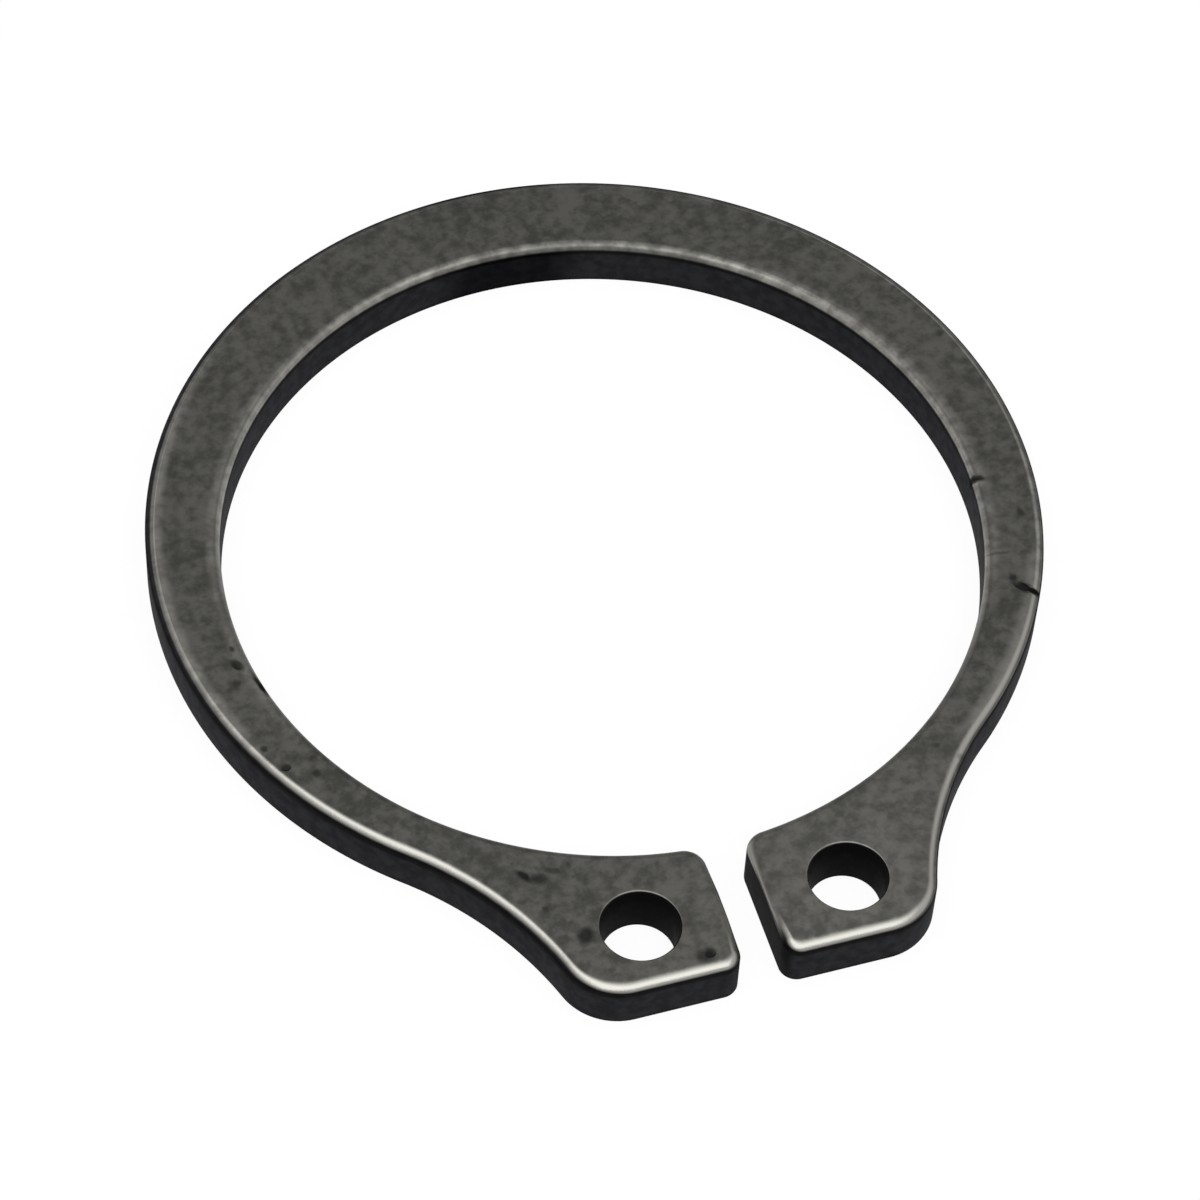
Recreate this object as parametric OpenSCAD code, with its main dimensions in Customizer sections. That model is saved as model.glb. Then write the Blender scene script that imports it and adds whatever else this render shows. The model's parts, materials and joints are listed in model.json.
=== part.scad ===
// External retaining ring (circlip) for a 28 mm shaft, blanked from spring steel sheet.
// The underside lies on z = 0, the z axis is the shaft's axis, and the gap points along -Y.
// The band's outer circle is set back from the inner one, so the band is widest opposite the gap.

/* [Ring] */
// Diameter of the inner edge, which grips the shaft's groove, with the ring relaxed
inner_d = 25.9; // [20:0.1:40]
// Width of the band opposite the gap, where it is widest
back_w = 3.2; // [2:0.1:4.5]
// Width that the band narrows to towards the lugs
front_w = 1.45; // [1:0.05:2]
// Thickness of the sheet
thick = 1.85; // [1:0.05:2.5]

/* [Lugs] */
// Opening between the two lugs
gap_w = 1.4; // [0.8:0.1:4]
// Reach of a lug's end, outwards from the inner edge
lug_h = 4.7; // [4.2:0.1:6]
// Width of a lug along its end, as if its corners were sharp
lug_w = 5.1; // [4.4:0.1:6.5]
// Lean of a lug's outer side, away from the gap
lug_lean = 19; // [5:1:30]
// Radius of the hollow in which a lug's outer side runs into the band
root_r = 12.8; // [3:0.1:16]
// Radius of the corner between a lug's end and its outer side
side_corner_r = 2.1; // [0.8:0.1:2.4]
// Radius of the corner between a lug's end and the gap
gap_corner_r = 0.8; // [0.4:0.1:1.2]
// Radius of the corner between the gap and the inner edge
bore_corner_r = 0.75; // [0.4:0.05:0.9]

/* [Plier holes] */
// Diameter of a plier hole
hole_d = 2.4; // [2:0.1:2.8]
// Distance between the middles of the two holes
hole_spacing = 7.0; // [6:0.1:8]
// Distance of a hole's middle from its lug's end
hole_up = 2.25; // [1.9:0.05:2.5]
// Reach of the broken rim at either end of a hole
hole_rim = 0.08; // [0.02:0.02:0.2]

/* [Edges] */
// How far the upper edge rolls in over the face, round the outside and the lugs' ends
outer_reach = 0.38; // [0.1:0.02:0.38]
// How far that roll drops down the wall
outer_drop = 0.3; // [0.1:0.02:0.4]
// How far the upper edge rolls in over the face, round the inner edge
inner_reach = 0.32; // [0.1:0.02:0.38]
// How far that roll drops down the bore
inner_drop = 0.36; // [0.1:0.02:0.4]
// How far the upper edge rolls in over the face along the gap
gap_reach = 0.2; // [0.1:0.02:0.38]
// How far that roll drops down the gap's wall
gap_drop = 0.14; // [0.1:0.02:0.4]
// Reach of the rounding along the whole lower edge
lower_round = 0.06; // [0.02:0.02:0.24]

/* [Hidden] */
$fn = 120;
// Degrees that one flat spans: on a long arc, round a corner, in a roll and in a lower rounding
turn = 3;
corner_turn = 13;
roll_turn = 22.5;
round_turn = 45;
corner_flats = ceil(90 / corner_turn);
roll_flats = ceil(90 / roll_turn);
round_flats = ceil(90 / round_turn);
// Left on the inner edge for the true bore to take off
bore_stock = 0.01;
// How far a cutting body runs on past the metal
past = 1;

outer_roll = [outer_reach, outer_drop];
inner_roll = [inner_reach, inner_drop];
gap_roll = [gap_reach, gap_drop];
// Length of gap wall over which its roll grows into the one round each corner
roll_blend = 0.5;
inner_r = inner_d / 2;
stock_r = inner_r - bore_stock;
outer_r = (inner_d + back_w + front_w) / 2;
disc_c = [0, (back_w - front_w) / 2];
end_y = -(inner_r + lug_h);
// A lug's outer side: the line of points p with p * side_n = side_at, and up_side runs along it
side_n = [cos(lug_lean), -sin(lug_lean)];
up_side = [sin(lug_lean), cos(lug_lean)];
side_at = [gap_w / 2 + lug_w, end_y] * side_n;
// Middles of the round stretches, each tangent to its two neighbours
root_off = side_at + root_r - disc_c * side_n;
root_c = disc_c + root_off * side_n - sqrt(pow(outer_r + root_r, 2) - pow(root_off, 2)) * up_side;
side_c_y = end_y + side_corner_r;
side_c = [(side_at - side_corner_r - side_c_y * side_n[1]) / side_n[0], side_c_y];
gap_c = [gap_w / 2 + gap_corner_r, end_y + gap_corner_r];
bore_c_x = gap_w / 2 + bore_corner_r;
bore_c = [bore_c_x, -sqrt(pow(stock_r + bore_corner_r, 2) - pow(bore_c_x, 2))];

function angle_of(v) = atan2(v[1], v[0]);
// The outer circle runs from root_start up to the back, and a root ends at it
root_start = angle_of(root_c - disc_c);
root_top = disc_c + outer_r * [cos(root_start), sin(root_start)];
root_foot = root_c - root_r * side_n;
gap_start = angle_of(bore_c);
// The band's stations come in pairs, one on the inner edge and one on the outer
back_flats = ceil((90 - angle_of(root_top)) / turn);
root_flats = ceil((angle_of(root_top) - angle_of(root_foot)) / turn);
lug_flats = ceil((angle_of(root_foot) - gap_start) / turn);
paired = back_flats + root_flats;

// Stations on the arc from angle a to angle b: each is its place, its outward direction and its roll,
// which is a reach and a drop
function arc_run(middle, r, a, b, flats, roll, hollow = false, first = 0) = [
  for (i = [first:flats]) let (t = a + (b - a) * i / flats, ray = [cos(t), sin(t)])
    [middle + r * ray, hollow ? -ray : ray, roll]
];

// The right half of the outline, from the back down the inner edge, round the lug and up outside
half = concat(
  arc_run([0, 0], stock_r, 90, angle_of(root_top), back_flats, inner_roll, true),
  arc_run([0, 0], stock_r, angle_of(root_top), angle_of(root_foot), root_flats, inner_roll, true, 1),
  arc_run([0, 0], stock_r, angle_of(root_foot), gap_start, lug_flats, inner_roll, true, 1),
  arc_run(bore_c, bore_corner_r, gap_start + 180, 180, corner_flats, inner_roll, false, 1),
  [for (y = [bore_c[1] - roll_blend, gap_c[1] + roll_blend]) [[gap_w / 2, y], [-1, 0], gap_roll]],
  arc_run(gap_c, gap_corner_r, 180, 270, corner_flats, outer_roll),
  arc_run(side_c, side_corner_r, 270, 360 - lug_lean, corner_flats, outer_roll),
  arc_run(root_c, root_r, 180 - lug_lean, root_start + 180, root_flats, outer_roll, true),
  arc_run(disc_c, outer_r, root_start, 90, back_flats, outer_roll, false, 1)
);
last = len(half) - 1;
round_trip = 2 * last;
function flip(v) = [-v[0], v[1]];
outline = concat(half, [for (i = [last - 1:-1:1]) [flip(half[i][0]), flip(half[i][1]), half[i][2]]]);

// Height of a station's loop and how far it lies in from the wall, from the underside to the top face
function lower_step(i) = let (t = 90 * i / round_flats) lower_round * [1 - cos(t), 1 - sin(t)];
function upper_step(i, roll) =
  let (t = 90 * i / roll_flats) [thick - roll[1] * (1 - sin(t)), roll[0] * (1 - cos(t))];
function step(k, roll) = k <= round_flats ? lower_step(k) : upper_step(k - round_flats - 1, roll);
loops = round_flats + roll_flats + 2;

// Triangles that close the outline's right half: the paired band, then a fan over the lug
lug_hub = last - paired;
half_cap = concat(
  [for (i = [0:paired - 1]) each [[i, i + 1, last - i - 1], [i, last - i - 1, last - i]]],
  [for (i = [paired:lug_hub - 2]) [lug_hub, i, i + 1]]
);
function mirrored(i) = (round_trip - i) % round_trip;
cap = concat(half_cap, [for (t = half_cap) [mirrored(t[0]), mirrored(t[2]), mirrored(t[1])]]);

// The blanked ring with its rolled and rounded edges, before the round tools go through
module blank() {
  points = [
    for (k = [0:loops - 1]) for (s = outline) let (at = step(k, s[2]), p = s[0] - at[1] * s[1])
      [p[0], p[1], at[0]]
  ];
  walls = [
    for (k = [0:loops - 2]) for (i = [0:round_trip - 1])
      let (a = k * round_trip + i, b = k * round_trip + (i + 1) % round_trip)
        each [[a, a + round_trip, b], [a + round_trip, b + round_trip, b]]
  ];
  top = (loops - 1) * round_trip;
  polyhedron(points, concat(walls, cap, [for (t = cap) [top + t[0], top + t[2], top + t[1]]]));
}

// A plier hole with its rims broken, standing on the underside
module plier_hole() {
  hole_r = hole_d / 2;
  translate([0, 0, -past]) cylinder(h = thick + 2 * past, r = hole_r);
  for (z = [0, thick]) translate([0, 0, z]) mirror([0, 0, z > 0 ? 1 : 0]) translate([0, 0, -hole_rim])
    cylinder(h = 2 * hole_rim, r1 = hole_r + 2 * hole_rim, r2 = hole_r);
}

module retaining_ring() {
  color([0.31, 0.31, 0.29]) difference() {
    blank();
    translate([0, 0, -past]) cylinder(h = thick + 2 * past, r = inner_r);
    for (side = [-1, 1]) translate([side * hole_spacing / 2, end_y + hole_up, 0]) plier_hole();
  }
}

retaining_ring();
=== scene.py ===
"""A spring-steel retaining ring for a shaft, phosphated dark, lying on a pale floor."""

import json
from math import atan2, cos, pi, radians, sin, sqrt

import bpy
from mathutils import Matrix, Vector


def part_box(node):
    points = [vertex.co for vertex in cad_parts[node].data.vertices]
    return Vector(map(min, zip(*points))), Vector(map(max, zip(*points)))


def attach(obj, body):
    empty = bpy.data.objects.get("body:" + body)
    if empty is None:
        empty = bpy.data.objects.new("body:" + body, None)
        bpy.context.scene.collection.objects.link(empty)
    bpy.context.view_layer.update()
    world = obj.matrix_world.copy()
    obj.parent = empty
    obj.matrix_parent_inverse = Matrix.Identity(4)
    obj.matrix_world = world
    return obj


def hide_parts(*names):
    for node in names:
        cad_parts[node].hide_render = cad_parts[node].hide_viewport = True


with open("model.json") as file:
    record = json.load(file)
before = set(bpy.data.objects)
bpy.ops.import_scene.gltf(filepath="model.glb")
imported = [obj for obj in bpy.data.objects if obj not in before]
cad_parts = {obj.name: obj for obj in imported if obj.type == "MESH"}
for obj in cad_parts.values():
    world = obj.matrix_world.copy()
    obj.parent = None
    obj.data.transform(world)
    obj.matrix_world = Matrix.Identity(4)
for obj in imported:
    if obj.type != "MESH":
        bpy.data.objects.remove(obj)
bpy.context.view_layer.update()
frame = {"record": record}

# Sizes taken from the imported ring, in metres
MM = 0.001
MOUNTS = {mount["name"]: mount for mount in frame["record"]["mounts"]}
LOW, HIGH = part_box("retaining_ring")
INNER_R = MOUNTS["shaft_seat"]["dims"]["r_mm"] * MM
HOLE_R = MOUNTS["plier_hole_right"]["dims"]["r_mm"] * MM
HOLE_X, HOLE_Y = MOUNTS["plier_hole_right"]["pos_m"][:2]
OUTER_R = HIGH.x
THICK = HIGH.z - LOW.z
# Middle of the outer circle, which lies behind the inner one's
OUTER_MIDDLE = Vector((0, HIGH.y - OUTER_R, 0))

# Sizes of the lugs and their corners
GAP = 1.4 * MM
LUG_W = 5.1 * MM
LUG_LEAN = radians(19)
ROOT_R = 12.8 * MM
SIDE_CORNER_R = 2.1 * MM
GAP_CORNER_R = 0.6 * MM
BORE_CORNER_R = 0.75 * MM

# How far each edge rolls in over the face and down the wall
OUTER_ROLL = (0.38 * MM, 0.30 * MM)
INNER_ROLL = (0.32 * MM, 0.36 * MM)
GAP_ROLL = (0.20 * MM, 0.14 * MM)
LOWER_ROUND = (0.06 * MM, 0.06 * MM)
HOLE_RIM = (0.06 * MM, 0.06 * MM)
# Length of gap wall over which its roll grows into the one round each corner
ROLL_BLEND = 1.2 * MM
# How much wider a hole is at the face, and how deep that flare goes
HOLE_FLARE = (0.10 * MM, 0.50 * MM)

# How finely round stretches are drawn
ARC_STEP = radians(1.0)
CORNER_STEPS = 16
ROLL_STEPS = 8
ROUND_STEPS = 3
RIM_STEPS = 4
HOLE_SIDES = 128
DENT_SIDES = 24
# Points closer than this are welded
MERGE = 0.001 * MM
# Edges flatter than this are shaded smooth, and large faces lead the smoothing
SMOOTH_ANGLE = radians(35)
FACE_WEIGHT = 100

# Dents and stains on the upper face: x and y, length and width, turn in degrees, depth, darkness.
# Lengths are in millimetres, and a stain has no depth.
MARKS = {
    "gouge_head": ((12.80, -5.50), (0.36, 0.26), -80, 0, 0.75),
    "gouge": ((12.95, -5.90), (0.66, 0.30), -45, 0.12, 1.0),
    "gouge_tail": ((13.30, -6.20), (0.72, 0.20), -35, 0.25, 1.0),
    "gouge_stain": ((12.20, -6.20), (0.44, 0.32), -65, 0, 0.25),
    "gouge_stain_b": ((12.70, -6.60), (0.28, 0.24), -30, 0, 0.2),
    "notch": ((13.00, -1.05), (0.66, 0.20), -25, 0.16, 1.0),
    "notch_tail": ((13.55, -1.25), (0.56, 0.22), -10, 0, 0.3),
    "right_spot": ((14.00, -2.85), (0.48, 0.24), 85, 0, 0.6),
    "right_scratch": ((12.65, -4.35), (0.82, 0.12), -10, 0, 0.45),
    "right_stain": ((14.30, -1.80), (0.24, 0.16), 20, 0, 0.3),
    "root_spot_a": ((7.95, -11.30), (0.30, 0.22), 0, 0, 0.35),
    "root_spot_b": ((8.60, -11.90), (0.26, 0.22), 30, 0, 0.35),
    "back_spot": ((14.05, 5.40), (0.30, 0.28), -75, 0, 0.5),
    "limb_pit_a": ((-13.30, -1.35), (0.24, 0.18), -80, 0, 0.75),
    "limb_pit_b": ((-13.30, -2.05), (0.44, 0.28), -60, 0.07, 0.85),
    "limb_pit_c": ((-13.50, -2.75), (0.32, 0.24), -85, 0, 0.55),
    "limb_nick": ((-12.75, -3.00), (0.78, 0.16), -75, 0.20, 1.0),
    "limb_pit_d": ((-13.30, -5.55), (0.24, 0.22), 70, 0, 0.8),
    "limb_pit_e": ((-12.80, -6.45), (0.32, 0.28), -25, 0.06, 0.85),
    "limb_pit_f": ((-11.85, -6.35), (0.24, 0.24), 70, 0, 0.45),
    "limb_pit_g": ((-11.90, -6.95), (0.26, 0.24), 65, 0, 0.6),
    "limb_stain_h": ((-12.90, -4.65), (0.22, 0.16), 80, 0, 0.35),
    "limb_stain_i": ((-12.85, -5.65), (0.20, 0.12), 45, 0, 0.3),
    "lug_smudge_a": ((-6.55, -12.60), (0.66, 0.26), -55, 0, 0.95),
    "lug_smudge_b": ((-6.10, -12.85), (0.66, 0.40), -25, 0, 0.75),
    "lug_smudge_c": ((-5.60, -12.65), (0.56, 0.24), -30, 0, 0.6),
    "lug_smudge_d": ((-6.10, -12.40), (0.20, 0.16), -70, 0, 0.35),
    "lug_spot_a": ((-5.05, -12.60), (0.24, 0.20), 75, 0, 0.3),
    "lug_spot_b": ((-4.70, -13.35), (0.36, 0.20), 80, 0, 0.35),
    "lug_spot_c": ((-6.05, -13.60), (0.32, 0.28), -20, 0, 0.25),
    "lug_spot_d": ((-6.25, -14.00), (0.24, 0.20), 85, 0, 0.55),
    "lug_spot_e": ((-4.85, -16.75), (0.22, 0.20), -15, 0, 0.4),
    "lug_pit_a": ((-1.70, -17.00), (0.40, 0.34), -30, 0.06, 1.0),
    "lug_stain_a": ((-1.85, -17.05), (0.66, 0.44), -15, 0, 0.75),
    "lug_stain_b": ((-5.30, -15.30), (0.60, 0.52), 65, 0, 0.85),
}
# The ball that cuts a dent has its middle above the face, by this share of its half height
DENT_LIFT = 0.6
# How far a mark's outline strays, how fine that straying is, and how deep below the face a mark goes
STRAY = 0.13 * MM
STRAY_SCALE = 4500
MARK_REACH = 0.45 * MM
# Where a mark starts and is darkest, and where a dent's hollow starts and is full, in half widths
MARK_FADE = (1.6, 0.4)
HOLLOW_FADE = (1.6, 1.35)


def select_none():
    """Leaves object mode's selection empty."""
    bpy.ops.object.select_all(action="DESELECT")


def apply(piece, kind, **settings):
    """Adds a modifier to a piece and applies it."""
    modifier = piece.modifiers.new(kind.lower(), kind)
    for name, value in settings.items():
        setattr(modifier, name, value)
    bpy.context.view_layer.objects.active = piece
    bpy.ops.object.modifier_apply(modifier=modifier.name)


class Pen:
    """Draws an open run of edges in edit mode: a point, arcs by Spin and straight steps by Extrude."""

    def __init__(self, at):
        bpy.ops.mesh.select_all(action="DESELECT")
        bpy.ops.mesh.primitive_plane_add(size=MM, location=at)
        bpy.ops.mesh.merge(type="CENTER")
        self.at = at

    def arc(self, middle, turn, steps):
        """Turns about a middle, anticlockwise where the turn is positive."""
        # Spin counts a clockwise turn as positive
        bpy.ops.mesh.spin(steps=steps, angle=-turn, center=middle, axis=(0, 0, 1))
        self.at = middle + Matrix.Rotation(turn, 3, "Z") @ (self.at - middle)

    def line(self, to):
        """Goes straight to a point."""
        bpy.ops.mesh.extrude_vertices_move(TRANSFORM_OT_translate={"value": to - self.at})
        self.at = to


def new_sketch(name):
    """An empty mesh object, opened in edit mode."""
    select_none()
    bpy.ops.mesh.primitive_plane_add(size=MM)
    sketch = bpy.context.object
    sketch.name = sketch.data.name = name
    bpy.ops.object.mode_set(mode="EDIT")
    bpy.ops.mesh.select_mode(type="VERT")
    bpy.ops.mesh.delete(type="VERT")
    return sketch


def quarter(roll, steps):
    """Insets and drops along a quarter of an ellipse, from the wall up to the face."""
    reach, depth = roll
    turns = [pi / 2 * (1 - i / steps) for i in range(steps + 1)]
    return [(reach * (1 - sin(t)), depth * (1 - cos(t))) for t in turns]


class RingOutline:
    """Middles of the round stretches of the ring's right half, each tangent to its neighbours."""

    def __init__(self):
        self.side = Vector((cos(LUG_LEAN), -sin(LUG_LEAN), 0))
        along = Vector((sin(LUG_LEAN), cos(LUG_LEAN), 0))
        side_at = Vector((GAP / 2 + LUG_W, LOW.y, 0)).dot(self.side)
        off = side_at + ROOT_R - OUTER_MIDDLE.dot(self.side)
        self.root = OUTER_MIDDLE + off * self.side - sqrt((OUTER_R + ROOT_R) ** 2 - off**2) * along
        corner_y = LOW.y + SIDE_CORNER_R
        corner_x = (side_at - SIDE_CORNER_R - corner_y * self.side.y) / self.side.x
        self.side_corner = Vector((corner_x, corner_y, 0))
        self.gap_corner = Vector((GAP / 2 + GAP_CORNER_R, LOW.y + GAP_CORNER_R, 0))
        bore_x = GAP / 2 + BORE_CORNER_R
        self.bore_corner = Vector((bore_x, -sqrt((INNER_R + BORE_CORNER_R) ** 2 - bore_x**2), 0))
        self.bore_end = atan2(self.bore_corner.y, self.bore_corner.x)
        self.root_start = atan2(self.root.y - OUTER_MIDDLE.y, self.root.x - OUTER_MIDDLE.x)

    def draw(self, inner, gap, outer):
        """Draws one run, from the back down the inner edge, round the lug and up the outside.
        inner, gap and outer are the insets and heights of its three stretches."""
        inset_in, height_in = inner
        inset_gap, height_gap = gap
        inset_out, height_out = outer
        up = Vector((0, 0, height_out))
        inner_turn = self.bore_end - pi / 2
        root_turn = self.root_start + LUG_LEAN
        outer_turn = pi / 2 - self.root_start
        pen = Pen(Vector((0, INNER_R + inset_in, height_in)))
        pen.arc(Vector((0, 0, 0)), inner_turn, round(-inner_turn / ARC_STEP))
        pen.arc(self.bore_corner, -self.bore_end, CORNER_STEPS)
        for y in (self.bore_corner.y - ROLL_BLEND, self.gap_corner.y + ROLL_BLEND):
            pen.line(Vector((GAP / 2 + inset_gap, y, height_gap)))
        pen.line(Vector((GAP / 2 + inset_out, self.gap_corner.y, height_out)))
        pen.arc(self.gap_corner, pi / 2, CORNER_STEPS)
        pen.line(Vector((self.side_corner.x, LOW.y + inset_out, height_out)))
        pen.arc(self.side_corner, pi / 2 - LUG_LEAN, CORNER_STEPS)
        pen.line(self.root - (ROOT_R + inset_out) * self.side + up)
        pen.arc(self.root, root_turn, round(-root_turn / ARC_STEP))
        pen.arc(OUTER_MIDDLE, outer_turn, round(outer_turn / ARC_STEP))


def ring_levels():
    """Insets and heights of the inner, the gap's and the outer edge, from the underside to the face."""
    lower = [(inset, LOW.z + drop) for inset, drop in reversed(quarter(LOWER_ROUND, ROUND_STEPS))]
    edges = [lower + [(inset, HIGH.z - drop) for inset, drop in quarter(roll, ROLL_STEPS)]
             for roll in (INNER_ROLL, GAP_ROLL, OUTER_ROLL)]
    return list(zip(*edges))


def pick_vertices(piece, first, last):
    """Selects a stretch of the vertices, in the order in which they were drawn."""
    bpy.ops.object.mode_set(mode="OBJECT")
    mesh = piece.data
    picked = [first <= i < last for i in range(len(mesh.vertices))]
    mesh.polygons.foreach_set("select", [False] * len(mesh.polygons))
    mesh.edges.foreach_set("select", [False] * len(mesh.edges))
    mesh.vertices.foreach_set("select", picked)
    bpy.ops.object.mode_set(mode="EDIT")
    bpy.ops.mesh.select_mode(type="VERT")


def draw_blank():
    """The ring before its holes and dents: runs of the outline, bridged, capped and mirrored."""
    blank = new_sketch("ring")
    outline = RingOutline()
    ends = [0]
    for edges in ring_levels():
        outline.draw(*edges)
        blank.update_from_editmode()
        ends.append(len(blank.data.vertices))
    for first, last in zip(ends, ends[2:]):
        pick_vertices(blank, first, last)
        bpy.ops.mesh.bridge_edge_loops()
    for first, last in (ends[:2], ends[-2:]):
        pick_vertices(blank, first, last)
        bpy.ops.mesh.edge_face_add()
    bpy.ops.object.mode_set(mode="OBJECT")
    apply(blank, "MIRROR", use_axis=(True, False, False), use_clip=True, merge_threshold=MERGE)
    bpy.ops.object.mode_set(mode="EDIT")
    bpy.ops.mesh.select_all(action="SELECT")
    bpy.ops.mesh.remove_doubles(threshold=MERGE)
    bpy.ops.mesh.normals_make_consistent(inside=False)
    bpy.ops.object.mode_set(mode="OBJECT")
    return blank


def hole_cutter(x):
    """What a plier hole takes away: a spun profile, flared to the face and over both rims."""
    cutter = new_sketch("hole_cutter")
    middle = Vector((x, HOLE_Y, 0))
    rim = quarter(HOLE_RIM, RIM_STEPS)
    top_r = HOLE_R + HOLE_FLARE[0]
    profile = [(top_r + HOLE_RIM[0], HIGH.z + THICK)]
    profile += [(top_r + inset, HIGH.z - drop) for inset, drop in reversed(rim)]
    profile += [(HOLE_R, HIGH.z - HOLE_FLARE[1])]
    profile += [(HOLE_R + inset, LOW.z + drop) for inset, drop in rim]
    profile += [(HOLE_R + HOLE_RIM[0], LOW.z - THICK)]
    places = [middle + Vector((radius, 0, height)) for radius, height in profile]
    pen = Pen(places[0])
    for place in places[1:]:
        pen.line(place)
    bpy.ops.mesh.select_all(action="SELECT")
    bpy.ops.mesh.spin(steps=HOLE_SIDES, angle=2 * pi, center=middle, axis=(0, 0, 1))
    bpy.ops.mesh.select_all(action="SELECT")
    bpy.ops.mesh.remove_doubles(threshold=MERGE)
    bpy.ops.mesh.select_all(action="DESELECT")
    bpy.ops.mesh.select_non_manifold()
    bpy.ops.mesh.edge_face_add()
    bpy.ops.mesh.select_all(action="SELECT")
    bpy.ops.mesh.normals_make_consistent(inside=False)
    bpy.ops.object.mode_set(mode="OBJECT")
    return cutter


def dent_cutter(place, size, turn, depth):
    """What a dent takes away: the lower cap of a flattened ball, sunk into the upper face."""
    select_none()
    tall = depth * MM / (1 - DENT_LIFT)
    wide = MM / 2 / sqrt(1 - DENT_LIFT**2)
    at = Vector((place[0] * MM, place[1] * MM, HIGH.z + tall * DENT_LIFT))
    bpy.ops.mesh.primitive_uv_sphere_add(
        segments=DENT_SIDES, ring_count=DENT_SIDES // 2, radius=1, location=at)
    cutter = bpy.context.object
    bpy.ops.object.mode_set(mode="EDIT")
    bpy.ops.mesh.select_all(action="SELECT")
    bpy.ops.transform.resize(value=(size[0] * wide, size[1] * wide, tall), center_override=at)
    # Rotate counts a clockwise turn as positive, as Spin does
    bpy.ops.transform.rotate(value=-radians(turn), orient_axis="Z", center_override=at)
    bpy.ops.object.mode_set(mode="OBJECT")
    return cutter


def cut(piece, cutters):
    """Takes cutters out of a piece, all at once."""
    select_none()
    for cutter in cutters:
        cutter.select_set(True)
    bpy.context.view_layer.objects.active = cutters[0]
    bpy.ops.object.join()
    apply(piece, "BOOLEAN", operation="DIFFERENCE", solver="EXACT", use_self=True, object=cutters[0])
    bpy.data.objects.remove(cutters[0])


def make_ring():
    """The whole ring: the blank, its two plier holes and its dents."""
    blank = draw_blank()
    cut(blank, [hole_cutter(x) for x in (HOLE_X, -HOLE_X)])
    cut(blank, [dent_cutter(place, size, turn, depth)
                for place, size, turn, depth, _ in MARKS.values() if depth])
    select_none()
    blank.select_set(True)
    bpy.context.view_layer.objects.active = blank
    bpy.ops.object.transform_apply(location=True, rotation=True, scale=True)
    bpy.ops.object.shade_smooth_by_angle(angle=SMOOTH_ANGLE)
    apply(blank, "WEIGHTED_NORMAL", keep_sharp=True, weight=FACE_WEIGHT)
    return blank


class Value:
    """A number of a material, on which arithmetic adds Math nodes."""

    def __init__(self, finish, socket):
        self.finish = finish
        self.socket = socket

    def __add__(self, other):
        return self.finish.math("ADD", self, other)

    def __mul__(self, other):
        return self.finish.math("MULTIPLY", self, other)

    def __sub__(self, other):
        return self.finish.math("SUBTRACT", self, other)

    def __rsub__(self, other):
        return self.finish.math("SUBTRACT", other, self)

    def __abs__(self):
        return self.finish.math("ABSOLUTE", self)

    def at_least(self, other):
        """The greater of the two."""
        return self.finish.math("MAXIMUM", self, other)

    __radd__ = __add__
    __rmul__ = __mul__


class Finish:
    """A material or the world, and the nodes that make it."""

    def __init__(self, owner):
        owner.use_nodes = True
        self.owner = owner
        self.tree = owner.node_tree
        self.tree.nodes.clear()

    def fill(self, socket, value):
        """Links a value to a socket, or sets a plain number, vector or colour."""
        if isinstance(value, Value):
            self.tree.links.new(value.socket, socket)
        else:
            socket.default_value = value

    def node(self, kind, settings=None, sockets=(), output=0):
        """Adds a node: its settings first, then the value or link of each socket."""
        made = self.tree.nodes.new(kind)
        for name, value in (settings or {}).items():
            setattr(made, name, value)
        pairs = sockets.items() if isinstance(sockets, dict) else enumerate(sockets)
        for key, value in pairs:
            self.fill(made.inputs[key], value)
        return Value(self, made.outputs[output]) if made.outputs else None

    def math(self, operation, *numbers):
        return self.node("ShaderNodeMath", {"operation": operation}, numbers)

    def vector(self, operation, *vectors):
        """A vector operation whose result is a vector."""
        return self.node("ShaderNodeVectorMath", {"operation": operation}, vectors, "Vector")

    def measure(self, operation, *vectors):
        """A vector operation whose result is a number: a length, a distance or a dot product."""
        return self.node("ShaderNodeVectorMath", {"operation": operation}, vectors, "Value")

    def join(self, x, y, z):
        """The vector with this x, y and z."""
        return self.node("ShaderNodeCombineXYZ", {}, [x, y, z], "Vector")

    def split(self, vector):
        """The x, y and z of a vector."""
        return [self.node("ShaderNodeSeparateXYZ", {}, [vector], axis) for axis in "XYZ"]

    def noise(self, place, scale, roughness=0.5, output="Fac"):
        """Soft random patches, as many to the metre as the scale says."""
        sockets = {"Vector": place, "Scale": scale, "Detail": 2, "Roughness": roughness}
        return self.node("ShaderNodeTexNoise", {}, sockets, output)

    def ramp(self, value, start, end, low=0.0, high=1.0):
        """Eases from low to high as a value goes from start to end."""
        settings = {"interpolation_type": "SMOOTHSTEP", "clamp": True}
        return self.node("ShaderNodeMapRange", settings, [value, start, end, low, high])

    def ramp_mm(self, length, start, end, low=0.0, high=1.0):
        """The same for a length, with the start and the end in millimetres."""
        return self.ramp(length, start * MM, end * MM, low, high)

    def blend(self, share, first, second):
        """Mixes two colours."""
        made = self.tree.nodes.new("ShaderNodeMix")
        made.data_type = "RGBA"
        inputs = {socket.identifier: socket for socket in made.inputs}
        outputs = {socket.identifier: socket for socket in made.outputs}
        self.fill(inputs["Factor_Float"], share)
        self.fill(inputs["A_Color"], first)
        self.fill(inputs["B_Color"], second)
        return Value(self, outputs["Result_Color"])


def grey(level, warmth=0.0):
    """A grey colour; a positive warmth lifts red and green over blue."""
    return (level * (1 + warmth / 2), level * (1 + warmth / 3), level * (1 - warmth / 2), 1)


def toward(azimuth, elevation):
    """The direction at an azimuth, counted from +X towards +Y, and an elevation, both in degrees."""
    a, e = radians(azimuth), radians(elevation)
    return Vector((cos(a) * cos(e), sin(a) * cos(e), sin(e)))


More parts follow.
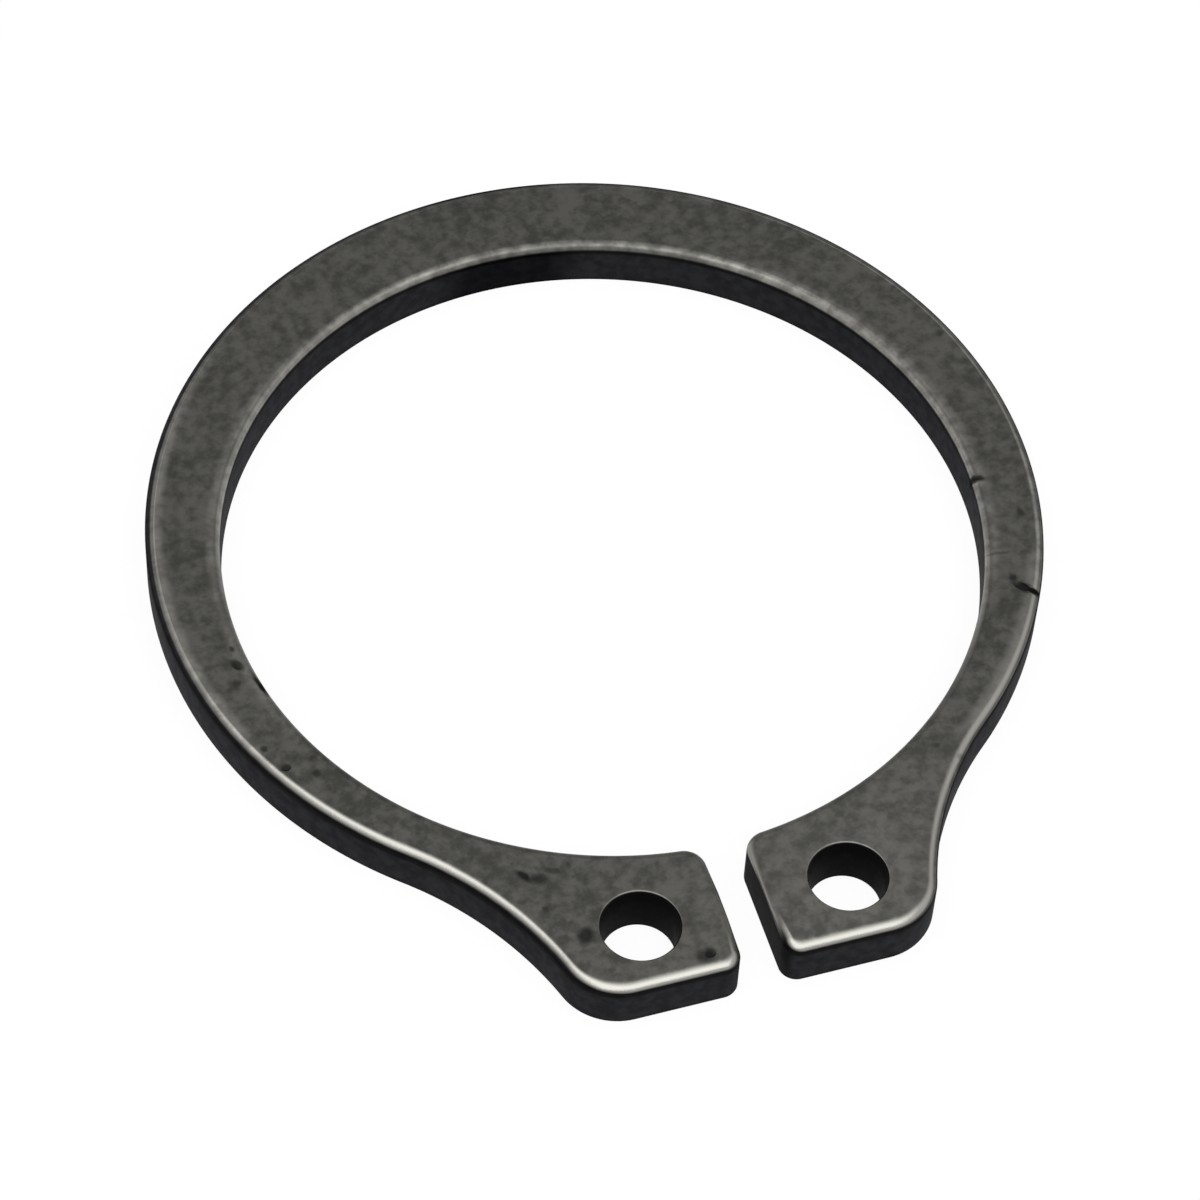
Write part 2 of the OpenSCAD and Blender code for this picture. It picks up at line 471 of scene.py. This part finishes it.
# Greys of the mottled face, at the back and at the lugs
DEEP = grey(0.032, 0.10)
PALE = grey(0.064, 0.12)
LUG_DEEP = grey(0.045, 0.10)
LUG_PALE = grey(0.080, 0.12)
# Greys of the rolls' burnish and painted highlight, and of the blotches on them
WORN_SHEEN_RIGHT = grey(0.14, 0.10)
WORN_SHEEN_LEFT = grey(0.17, 0.10)
WORN_SHEEN_FRONT = grey(0.26, 0.10)
WORN_SHEEN_BLOTCH = grey(0.25, 0.10)
# Greys of the walls, partly their dark coating and partly painted shade, and of the marks
WALL_COAT_SHADE_DEEP = grey(0.0085, -0.20)
WALL_COAT_SHADE_PALE = grey(0.0155, -0.16)
BLACK = grey(0.0)
MARK_BLACK = grey(0.004)

# Where the coating, its painted highlights and the painted shade change. Each pair says where a change
# starts and where it is full.
# Places along the ring, from the lugs (negative) to the back, in millimetres
BACK_HALF = (0, 5)
FRONT_HALF = (0, -5)
BRIGHT_FRONT = (-4.5, -8)
LUG_WEAR = (-8, -17)
BEHIND_LUGS = (-6.5, -3.5)
SHORT_OF_BACK = (12, 8)
RIGHT_HIGHLIGHT_START = (-3, -6)
RIGHT_HIGHLIGHT_END = (-11.6, -10.4)
# Places across the ring, from left (negative) to right, in millimetres
LEFT_SIDE = (-2, -6)
LEFT_HIGHLIGHT_BAND = (-9, -13)
RIGHT_HIGHLIGHT_BAND = (8, 9)
RIGHT_WEAR = (-4, 4)
DULL_START = (-4, 0)
DULL_END = (9, 6)
# Middle of the darker place at the back, and distances from that middle, in millimetres
DARK_BACK_MIDDLE = 0.4
DARK_BACK_SPAN = (3.2, 1.2)
# Distances from the bore, the outside, the gap, a hole and the lugs' ends, in millimetres
BORE_EDGE = (0.6, 0.4)
BORE_HIGHLIGHT_BAND = (0.6, 0.3)
OUTSIDE_HIGHLIGHT_BAND = (0.7, 0.36)
GAP_EDGE = (0.5, 0.3)
GAP_WALL = (0.3, 0.1)
GAP_INNER_END = (0, -0.5)
GAP_OUTER_END = (0.3, 1.6)
HOLE_EDGE = (0.5, 0.4)
# Depths below the face and heights above the floor, in millimetres
UNDER_ROLL_START = (0.08, 0.20)
UNDER_ROLL_END = (0.52, 0.36)
FOOT = (0.28, 0.02)
# Shares of the ring's thickness
UPPER_HALF = (0.45, 0.55)
# How far the surface faces up, from 0 on a wall to 1 on the face
OUTER_ROLL_FOOT = (0.74, 0.86)
INNER_ROLL_FOOT = (0.10, 0.40)
OUTER_BURNISH_HIGHLIGHT_TOP = (0.999, 0.98)
OUTER_BURNISH_HIGHLIGHT_FOOT = (0.80, 1.0)
INNER_BURNISH_HIGHLIGHT_TOP = (0.99, 0.65)
# How far it faces to the left of the front; the rolls get their painted highlight only on that side
HIGHLIGHT_SIDE = (-0.35, 0.0)
# Shares of the mottling
TONES = (0.36, 0.64)
BLOTCHES = (0.3, 0.7)

# The front, and the side left of it, on which the rolls get their painted highlight
FRONT = toward(280, 0)
LEFT_FRONT = toward(250, 0)
# How much lower the outer roll's burnish and painted highlight end and are full at the front, and how much
# higher they end right
FRONT_LOWER = 0.5
FRONT_FULL_LOWER = 0.26
RIGHT_HIGHER = 0.22
# How strongly the soft highlight is painted on the face beside the rolls
LEFT_SOFT_HIGHLIGHT = 0.36
RIGHT_SOFT_HIGHLIGHT = 0.22
BORE_SOFT_HIGHLIGHT = 0.22
# How strongly the left and the right lug are worn
LUGS_WORN = (0.15, 1.2)
# How much is missing of the burnish and its painted highlight at the back of the bore and in the holes
DULL = 0.6
HOLE_DULL = 0.75
# How much darker the walls are: painted shade under the roll, at the foot, in the gap and in the holes,
# and a darker place at the back; and how much of a mark's place turns black
UNDER_ROLL_DARK = 0.85
FOOT_DARK = 0.5
GAP_DARK = 0.9
HOLE_DARK = 0.9
BACK_DARK = 0.6
MARK_DARK = 0.92
# Sizes of the mottling, in patches to the metre, and how much each counts
CLOUDS_SCALE, CLOUDS_SHARE = 500, 0.30
BLOTCH_SCALE, BLOTCH_SHARE = 2500, 0.55
GRAIN_SCALE, GRAIN_SHARE = 9000, 0.15
GRAIN_ROUGH = 0.6
# The relief of the coating
BUMP_STRENGTH = 0.35
BUMP_HEIGHT = 0.02 * MM
BUMP_BLOTCHES, BUMP_GRAIN = 0.6, 0.4
# How metallic the face is, and its gloss, which is weaker at the back
METALLIC = 0.85
GLOSS, BACK_GLOSS_LOSS = 0.05, 0.04
# Roughness where the face is deep and where it is pale, and what burnish, walls and hollows change
ROUGH_DEEP, ROUGH_PALE = 0.46, 0.38
BURNISH_SMOOTHER = 0.12
WALL_ROUGHER = 0.3
HOLLOW_ROUGHER = 0.3


class RingCoating(Finish):
    """Dark mottled coating on the face; a burnish with a painted highlight where the edges roll over; near
    black on the walls, partly painted shade.
    A mask goes from 0 to 1, and is 1 in the place that its name or docstring gives."""

    def __init__(self):
        super().__init__(bpy.data.materials.new("phosphated_steel"))
        # Where a place lies, and how far it is from the ring's faces and edges
        self.place = self.node("ShaderNodeTexCoord", output="Object")
        self.across, self.along, height = self.split(self.place)
        self.above_floor = height - LOW.z
        self.below_face = HIGH.z - height
        flat = self.join(self.across, self.along, 0.0)
        folded = self.join(abs(self.across), self.along, 0.0)
        self.off_bore = self.measure("LENGTH", flat) - INNER_R
        self.off_outside = OUTER_R - self.measure("DISTANCE", flat, OUTER_MIDDLE)
        self.off_gap = abs(self.across) - GAP / 2
        off_hole = self.measure("DISTANCE", folded, (HOLE_X, HOLE_Y, 0)) - HOLE_R
        off_dark_back = abs(self.across - DARK_BACK_MIDDLE * MM)
        # The places that more than one part of the coating asks for
        self.back_half = self.ramp_mm(self.along, *BACK_HALF)
        self.at_back = self.ramp_mm(off_dark_back, *DARK_BACK_SPAN) * self.back_half
        self.in_hole = self.ramp_mm(off_hole, *HOLE_EDGE)
        # Which way the surface faces
        normal = self.node("ShaderNodeTexCoord", output="Normal")
        rightward, _, self.up = self.split(normal)
        self.right = rightward.at_least(0.0)
        self.front = self.measure("DOT_PRODUCT", normal, FRONT)
        self.left_front = self.measure("DOT_PRODUCT", normal, LEFT_FRONT)
        # The mottling, from coarse to fine
        clouds = self.noise(self.place, CLOUDS_SCALE)
        self.blotches = self.noise(self.place, BLOTCH_SCALE)
        self.grain = self.noise(self.place, GRAIN_SCALE, GRAIN_ROUGH)
        self.tone = clouds * CLOUDS_SHARE + self.blotches * BLOTCH_SHARE + self.grain * GRAIN_SHARE

    def marks(self):
        """How dark the marks are, and where the dents' hollows are."""
        drift = self.noise(self.place, STRAY_SCALE, output="Color")
        centred = self.vector("ADD", self.place, [-STRAY / 2] * 3)
        ragged = self.vector("MULTIPLY_ADD", drift, [STRAY] * 3, centred)
        dark, hollow = 0.0, 0.0
        for (x, y), (length, width), turn, depth, darkness in MARKS.values():
            inside = self.node("ShaderNodeMapping", {"vector_type": "TEXTURE"}, {
                "Vector": ragged,
                "Location": (x * MM, y * MM, HIGH.z),
                "Rotation": (0, 0, radians(turn)),
                "Scale": (length * MM / 2, width * MM / 2, MARK_REACH),
            })
            away = self.measure("LENGTH", inside)
            dark = self.ramp(away, *MARK_FADE, 0.0, darkness).at_least(dark)
            if depth:
                hollow = self.ramp(away, *HOLLOW_FADE).at_least(hollow)
        return dark, hollow

    def inside(self):
        """The inner edge and the gap, where the burnish and its painted highlight lie lower on the roll
        than outside.
        """
        by_bore = self.ramp_mm(self.off_bore, *BORE_EDGE)
        by_gap = self.ramp_mm(self.off_gap, *GAP_EDGE) * self.ramp_mm(self.along, *FRONT_HALF)
        return by_bore.at_least(by_gap * self.ramp_mm(self.along - LOW.y, *GAP_OUTER_END))

    def off_walls(self, inside):
        """The face and the rolls, down to where the walls' dark colour starts. Outside, that line lies
        lower where the roll faces the front, so the painted highlight runs further down there.
        """
        outer = self.ramp(self.up + self.front * FRONT_LOWER, *OUTER_ROLL_FOOT)
        return outer * (1 - inside) + self.ramp(self.up, *INNER_ROLL_FOOT) * inside

    def burnish_and_highlight(self, inside):
        """The rolls' burnish, which also stands in for their painted highlight: only where they face
        towards the front and left, lower where they face the front and higher where they face right.
        Outside it starts at the face.
        """
        top, full = OUTER_BURNISH_HIGHLIGHT_TOP
        outer = self.ramp(self.up, top, full - self.front * FRONT_FULL_LOWER)
        lowered = self.up + self.front * FRONT_LOWER - self.right * RIGHT_HIGHER
        outer = outer * self.ramp(lowered, *OUTER_BURNISH_HIGHLIGHT_FOOT)
        # The back of the inner edge gets less of the burnish and its painted highlight right of its middle
        dull = self.ramp_mm(self.across, *DULL_START) * self.ramp_mm(self.across, *DULL_END)
        inner = self.ramp(self.up, *INNER_BURNISH_HIGHLIGHT_TOP) * self.ramp(self.up, *INNER_ROLL_FOOT)
        inner = inner * (1 - dull * self.back_half * DULL)
        return (outer * (1 - inside) + inner * inside) * self.ramp(self.left_front, *HIGHLIGHT_SIDE)

    def soft_highlight(self):
        """A painted soft highlight on the face beside the rolls."""
        behind_lugs = self.ramp_mm(self.along, *BEHIND_LUGS)
        left = self.ramp_mm(self.across, *LEFT_HIGHLIGHT_BAND, 0.0, LEFT_SOFT_HIGHLIGHT) * behind_lugs
        right = self.ramp_mm(self.across, *RIGHT_HIGHLIGHT_BAND, 0.0, RIGHT_SOFT_HIGHLIGHT)
        right = right * self.ramp_mm(self.along, *RIGHT_HIGHLIGHT_START)
        right = right * self.ramp_mm(self.along, *RIGHT_HIGHLIGHT_END)
        outer = self.ramp_mm(self.off_outside, *OUTSIDE_HIGHLIGHT_BAND) * (left + right)
        inner = self.ramp_mm(self.off_bore, *BORE_HIGHLIGHT_BAND) * behind_lugs
        return outer.at_least(inner * self.ramp_mm(self.along, *SHORT_OF_BACK, 0.0, BORE_SOFT_HIGHLIGHT))

    def face_colour(self):
        """Mottled, and paler towards the lugs, the right one most."""
        handled = self.ramp_mm(self.along, *LUG_WEAR) * self.ramp_mm(self.across, *RIGHT_WEAR, *LUGS_WORN)
        deep = self.blend(handled, DEEP, LUG_DEEP)
        pale = self.blend(handled, PALE, LUG_PALE)
        return self.blend(self.ramp(self.tone, *TONES), deep, pale)

    def burnish_highlight_colour(self):
        """Bright with a few blotches, and brightest at the front: the burnish and the painted highlight on
        the rolls.
        """
        worn_sheen = self.blend(self.ramp_mm(self.across, *LEFT_SIDE), WORN_SHEEN_RIGHT, WORN_SHEEN_LEFT)
        worn_sheen = self.blend(self.ramp_mm(self.along, *BRIGHT_FRONT), worn_sheen, WORN_SHEEN_FRONT)
        return self.blend(self.ramp(self.blotches, *BLOTCHES), worn_sheen, WORN_SHEEN_BLOTCH)

    def wall_colour(self):
        """Dark coating that also stands in for shade, made blacker as painted shade under the roll, at the
        foot, in the gap and in the holes, and darker at the back.
        """
        under_roll = self.ramp_mm(self.below_face, *UNDER_ROLL_START)
        under_roll = under_roll * self.ramp_mm(self.below_face, *UNDER_ROLL_END)
        at_foot = self.ramp_mm(self.above_floor, *FOOT)
        in_gap = self.ramp_mm(self.off_gap, *GAP_WALL) * self.ramp_mm(self.along + INNER_R, *GAP_INNER_END)
        shade = (1 - under_roll * UNDER_ROLL_DARK) * (1 - at_foot * FOOT_DARK) * (1 - in_gap * GAP_DARK)
        shade = shade * (1 - self.in_hole * HOLE_DARK) * (1 - self.at_back * BACK_DARK)
        wall_coat_and_shade = self.blend(self.ramp(self.blotches, *BLOTCHES), WALL_COAT_SHADE_DEEP, WALL_COAT_SHADE_PALE)
        return self.blend(shade, BLACK, wall_coat_and_shade)

    def material(self):
        """The finished material."""
        inside = self.inside()
        off_walls = self.off_walls(inside)
        on_wall = 1 - off_walls
        dark, hollow = self.marks()
        start, full = UPPER_HALF
        upper_half = self.ramp(self.above_floor, start * THICK, full * THICK)
        # The burnish with its painted highlight, or the painted soft highlight beside the rolls, kept to
        # the upper half
        burnish_and_sheen = self.burnish_and_highlight(inside).at_least(self.soft_highlight() * off_walls)
        burnish_and_sheen = burnish_and_sheen * upper_half * (1 - hollow) * (1 - self.in_hole * HOLE_DULL)
        coated = self.blend(burnish_and_sheen, self.face_colour(), self.burnish_highlight_colour())
        # Below the rolls, the walls' dark colour with its painted shade
        coated = self.blend(on_wall, coated, self.wall_colour())
        roughness = self.ramp(self.tone, *BLOTCHES, ROUGH_DEEP, ROUGH_PALE) - burnish_and_sheen * BURNISH_SMOOTHER
        bump = self.node("ShaderNodeBump", {}, {
            "Strength": BUMP_STRENGTH,
            "Distance": BUMP_HEIGHT,
            "Height": self.blotches * BUMP_BLOTCHES + self.grain * BUMP_GRAIN,
        })
        shader = self.node("ShaderNodeBsdfPrincipled", {}, {
            "Base Color": self.blend(dark * MARK_DARK, coated, MARK_BLACK),
            "Metallic": METALLIC - METALLIC * on_wall.at_least(hollow),
            "Roughness": roughness + on_wall * WALL_ROUGHER + hollow * HOLLOW_ROUGHER,
            "Specular IOR Level": GLOSS - self.at_back * BACK_GLOSS_LOSS,
            "Normal": bump,
        })
        self.node("ShaderNodeOutputMaterial", {}, {"Surface": shader})
        return self.owner


# The studio: lengths in metres, and brightness against white
WHITE = (1, 1, 1, 1)
FLOOR_SIZE = 4.0
FLOOR_GREY = (0.80, 0.80, 0.80, 1)
FLOOR_GLOW = 0.94
AMBIENT = 0.30
LAMP_AWAY = 0.5


def seen(finish):
    """1 for the rays that show what lies round the ring: to the camera, and off or through gloss."""
    rays = ("Is Camera Ray", "Is Glossy Ray", "Is Transmission Ray")
    camera, glossy, through = (finish.node("ShaderNodeLightPath", output=name) for name in rays)
    return camera.at_least(glossy).at_least(through)


def pale_floor():
    """A plain pale floor, on which the ring keeps a faint shadow."""
    select_none()
    bpy.ops.mesh.primitive_plane_add(size=FLOOR_SIZE, location=(0, 0, LOW.z))
    floor = bpy.context.object
    floor.name = "floor"
    paint = Finish(bpy.data.materials.new("pale_floor"))
    matt = paint.node("ShaderNodeBsdfDiffuse", {}, {"Color": FLOOR_GREY})
    glow = paint.node("ShaderNodeEmission", {}, {"Color": WHITE, "Strength": 1.0})
    mixed = paint.node("ShaderNodeMixShader", {}, [seen(paint) * FLOOR_GLOW, matt, glow])
    paint.node("ShaderNodeOutputMaterial", {}, {"Surface": mixed})
    floor.data.materials.append(paint.owner)


def pale_world():
    """White wherever it is seen, and a softer grey as light."""
    world = bpy.data.worlds.new("studio")
    bpy.context.scene.world = world
    sky = Finish(world)
    soft = sky.node("ShaderNodeBackground", {}, [WHITE, AMBIENT])
    white = sky.node("ShaderNodeBackground", {}, [WHITE, 1.0])
    mixed = sky.node("ShaderNodeMixShader", {}, [seen(sky), soft, white])
    sky.node("ShaderNodeOutputWorld", {}, {"Surface": mixed})


def softbox(name, azimuth, elevation, width, height, glow):
    """A soft lamp that faces the ring; glow is how bright it looks."""
    light = bpy.data.lights.new(name, "AREA")
    light.shape = "RECTANGLE"
    light.size, light.size_y = width, height
    light.energy = glow * pi * width * height
    lamp = bpy.data.objects.new(name, light)
    bpy.context.scene.collection.objects.link(lamp)
    lamp.location = toward(azimuth, elevation) * LAMP_AWAY
    lamp.rotation_euler = toward(azimuth, elevation).to_track_quat("Z", "Y").to_euler()


# The camera: degrees round from the front and up, its roll, how far away it is and what it looks at
CAMERA_AZIMUTH = -19.87
CAMERA_ELEVATION = 52.94
CAMERA_ROLL = 3.51
CAMERA_AWAY = 157.48 * MM
CAMERA_AIM = Vector((-0.700 * MM, -1.999 * MM, LOW.z + THICK / 2))
CAMERA_CLIP = 5 * MM
# Its lens and the width of its frame, in millimetres
LENS = 140.0
FRAME_WIDTH = 36


def place_camera():
    """The photograph's view."""
    az, el = radians(CAMERA_AZIMUTH), radians(CAMERA_ELEVATION)
    back = Vector((sin(az) * cos(el), -cos(az) * cos(el), sin(el)))
    right = Vector((0, 0, 1)).cross(back).normalized()
    view = Matrix((right, back.cross(right), back)).transposed()
    data = bpy.data.cameras.new("camera")
    data.sensor_width = FRAME_WIDTH
    data.lens = LENS
    data.clip_start = CAMERA_CLIP
    camera = bpy.data.objects.new("camera", data)
    bpy.context.scene.collection.objects.link(camera)
    turned = (view @ Matrix.Rotation(radians(CAMERA_ROLL), 3, "Z")).to_4x4()
    camera.matrix_world = Matrix.Translation(CAMERA_AIM + back * CAMERA_AWAY) @ turned
    bpy.context.scene.camera = camera


place_camera()
ring = make_ring()
ring.data.materials.append(RingCoating().material())
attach(ring, "root")
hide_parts("retaining_ring")
pale_floor()
pale_world()
softbox("top_box", azimuth=264, elevation=72, width=0.68, height=0.80, glow=2.8)
bpy.context.scene.view_settings.view_transform = "Standard"
